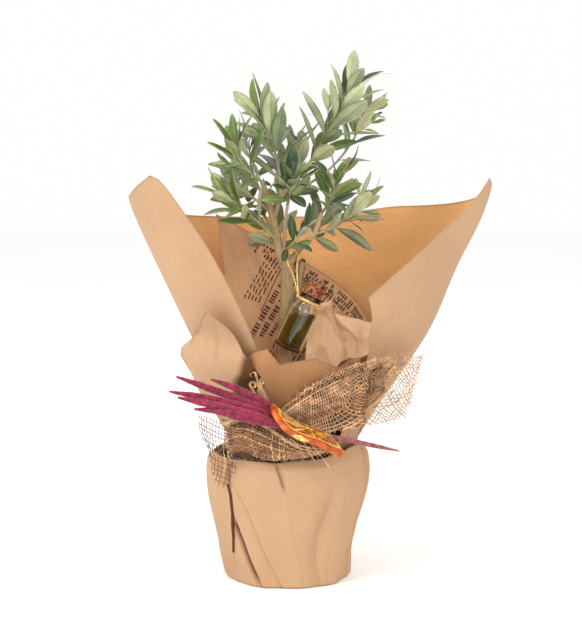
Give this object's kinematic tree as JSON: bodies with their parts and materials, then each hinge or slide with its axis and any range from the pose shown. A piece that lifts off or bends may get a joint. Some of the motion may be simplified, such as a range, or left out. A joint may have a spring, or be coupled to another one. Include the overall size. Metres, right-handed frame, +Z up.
{
  "type": "olive bonsai in a gift-wrapped pot",
  "caption": "Young olive tree in a round nursery pot, dressed in kraft paper and burlap with dyed grass spikes, a dried orange slice and a corked oil vial.",
  "frame": {"origin": "centre of the flat underside of the wrapped pot", "axes": "+Z up along the pot's axis, -Y to the front of the bouquet, +X to the right seen from the front"},
  "size_m": [0.2826, 0.2399, 0.4189],
  "materials": {
    "kraft": "matt brown kraft paper, soft creases",
    "printed": "matt brown paper with a printed pattern of dark bars",
    "plastic": "thin dark nursery pot plastic",
    "soil": "moist potting soil",
    "burlap": "open-weave jute burlap",
    "spike": "dyed dry grass spikes, fuzzy",
    "filler": "dry sprigs",
    "orange": "dried fruit slice, waxy peel",
    "glass": "clear glass",
    "oil": "green-gold oil, glossy",
    "cork": "pressed cork",
    "raffia": "waxed raffia string",
    "bark": "grey-brown bark, finely cracked",
    "green_bark": "smooth green young bark",
    "leaf": "leathery leaves, green above and silvery below"
  },
  "bodies": {
    "root": {"wrap": "kraft", "pot": "plastic", "soil": "soil", "collar": "kraft", "printed_paper": "printed", "crumpled_paper": "kraft", "left_lobe": "kraft", "front_lobe": "kraft", "burlap_band": "burlap", "burlap_right": "burlap", "burlap_left": "burlap", "spikes": "spike", "filler": "filler", "orange_slice": "orange", "vial": "glass", "oil": "oil", "cork": "cork", "raffia": "raffia", "trunk": "bark", "bough_left": "bark", "bough_right": "bark", "bough_middle": "bark", "bough_front": "green_bark", "spray_left_outer": "leaf", "spray_left_top": "leaf", "spray_left_low": "leaf", "spray_left_back": "leaf", "spray_right_top": "leaf", "spray_right_outer": "leaf", "spray_centre": "leaf", "spray_right_low": "leaf", "spray_right_side": "leaf", "spray_front": "leaf", "spray_front_low": "leaf", "spray_back_left": "leaf", "spray_back_mid": "leaf", "spray_back_right": "leaf", "spray_back_low": "leaf"}
  },
  "joints": []
}
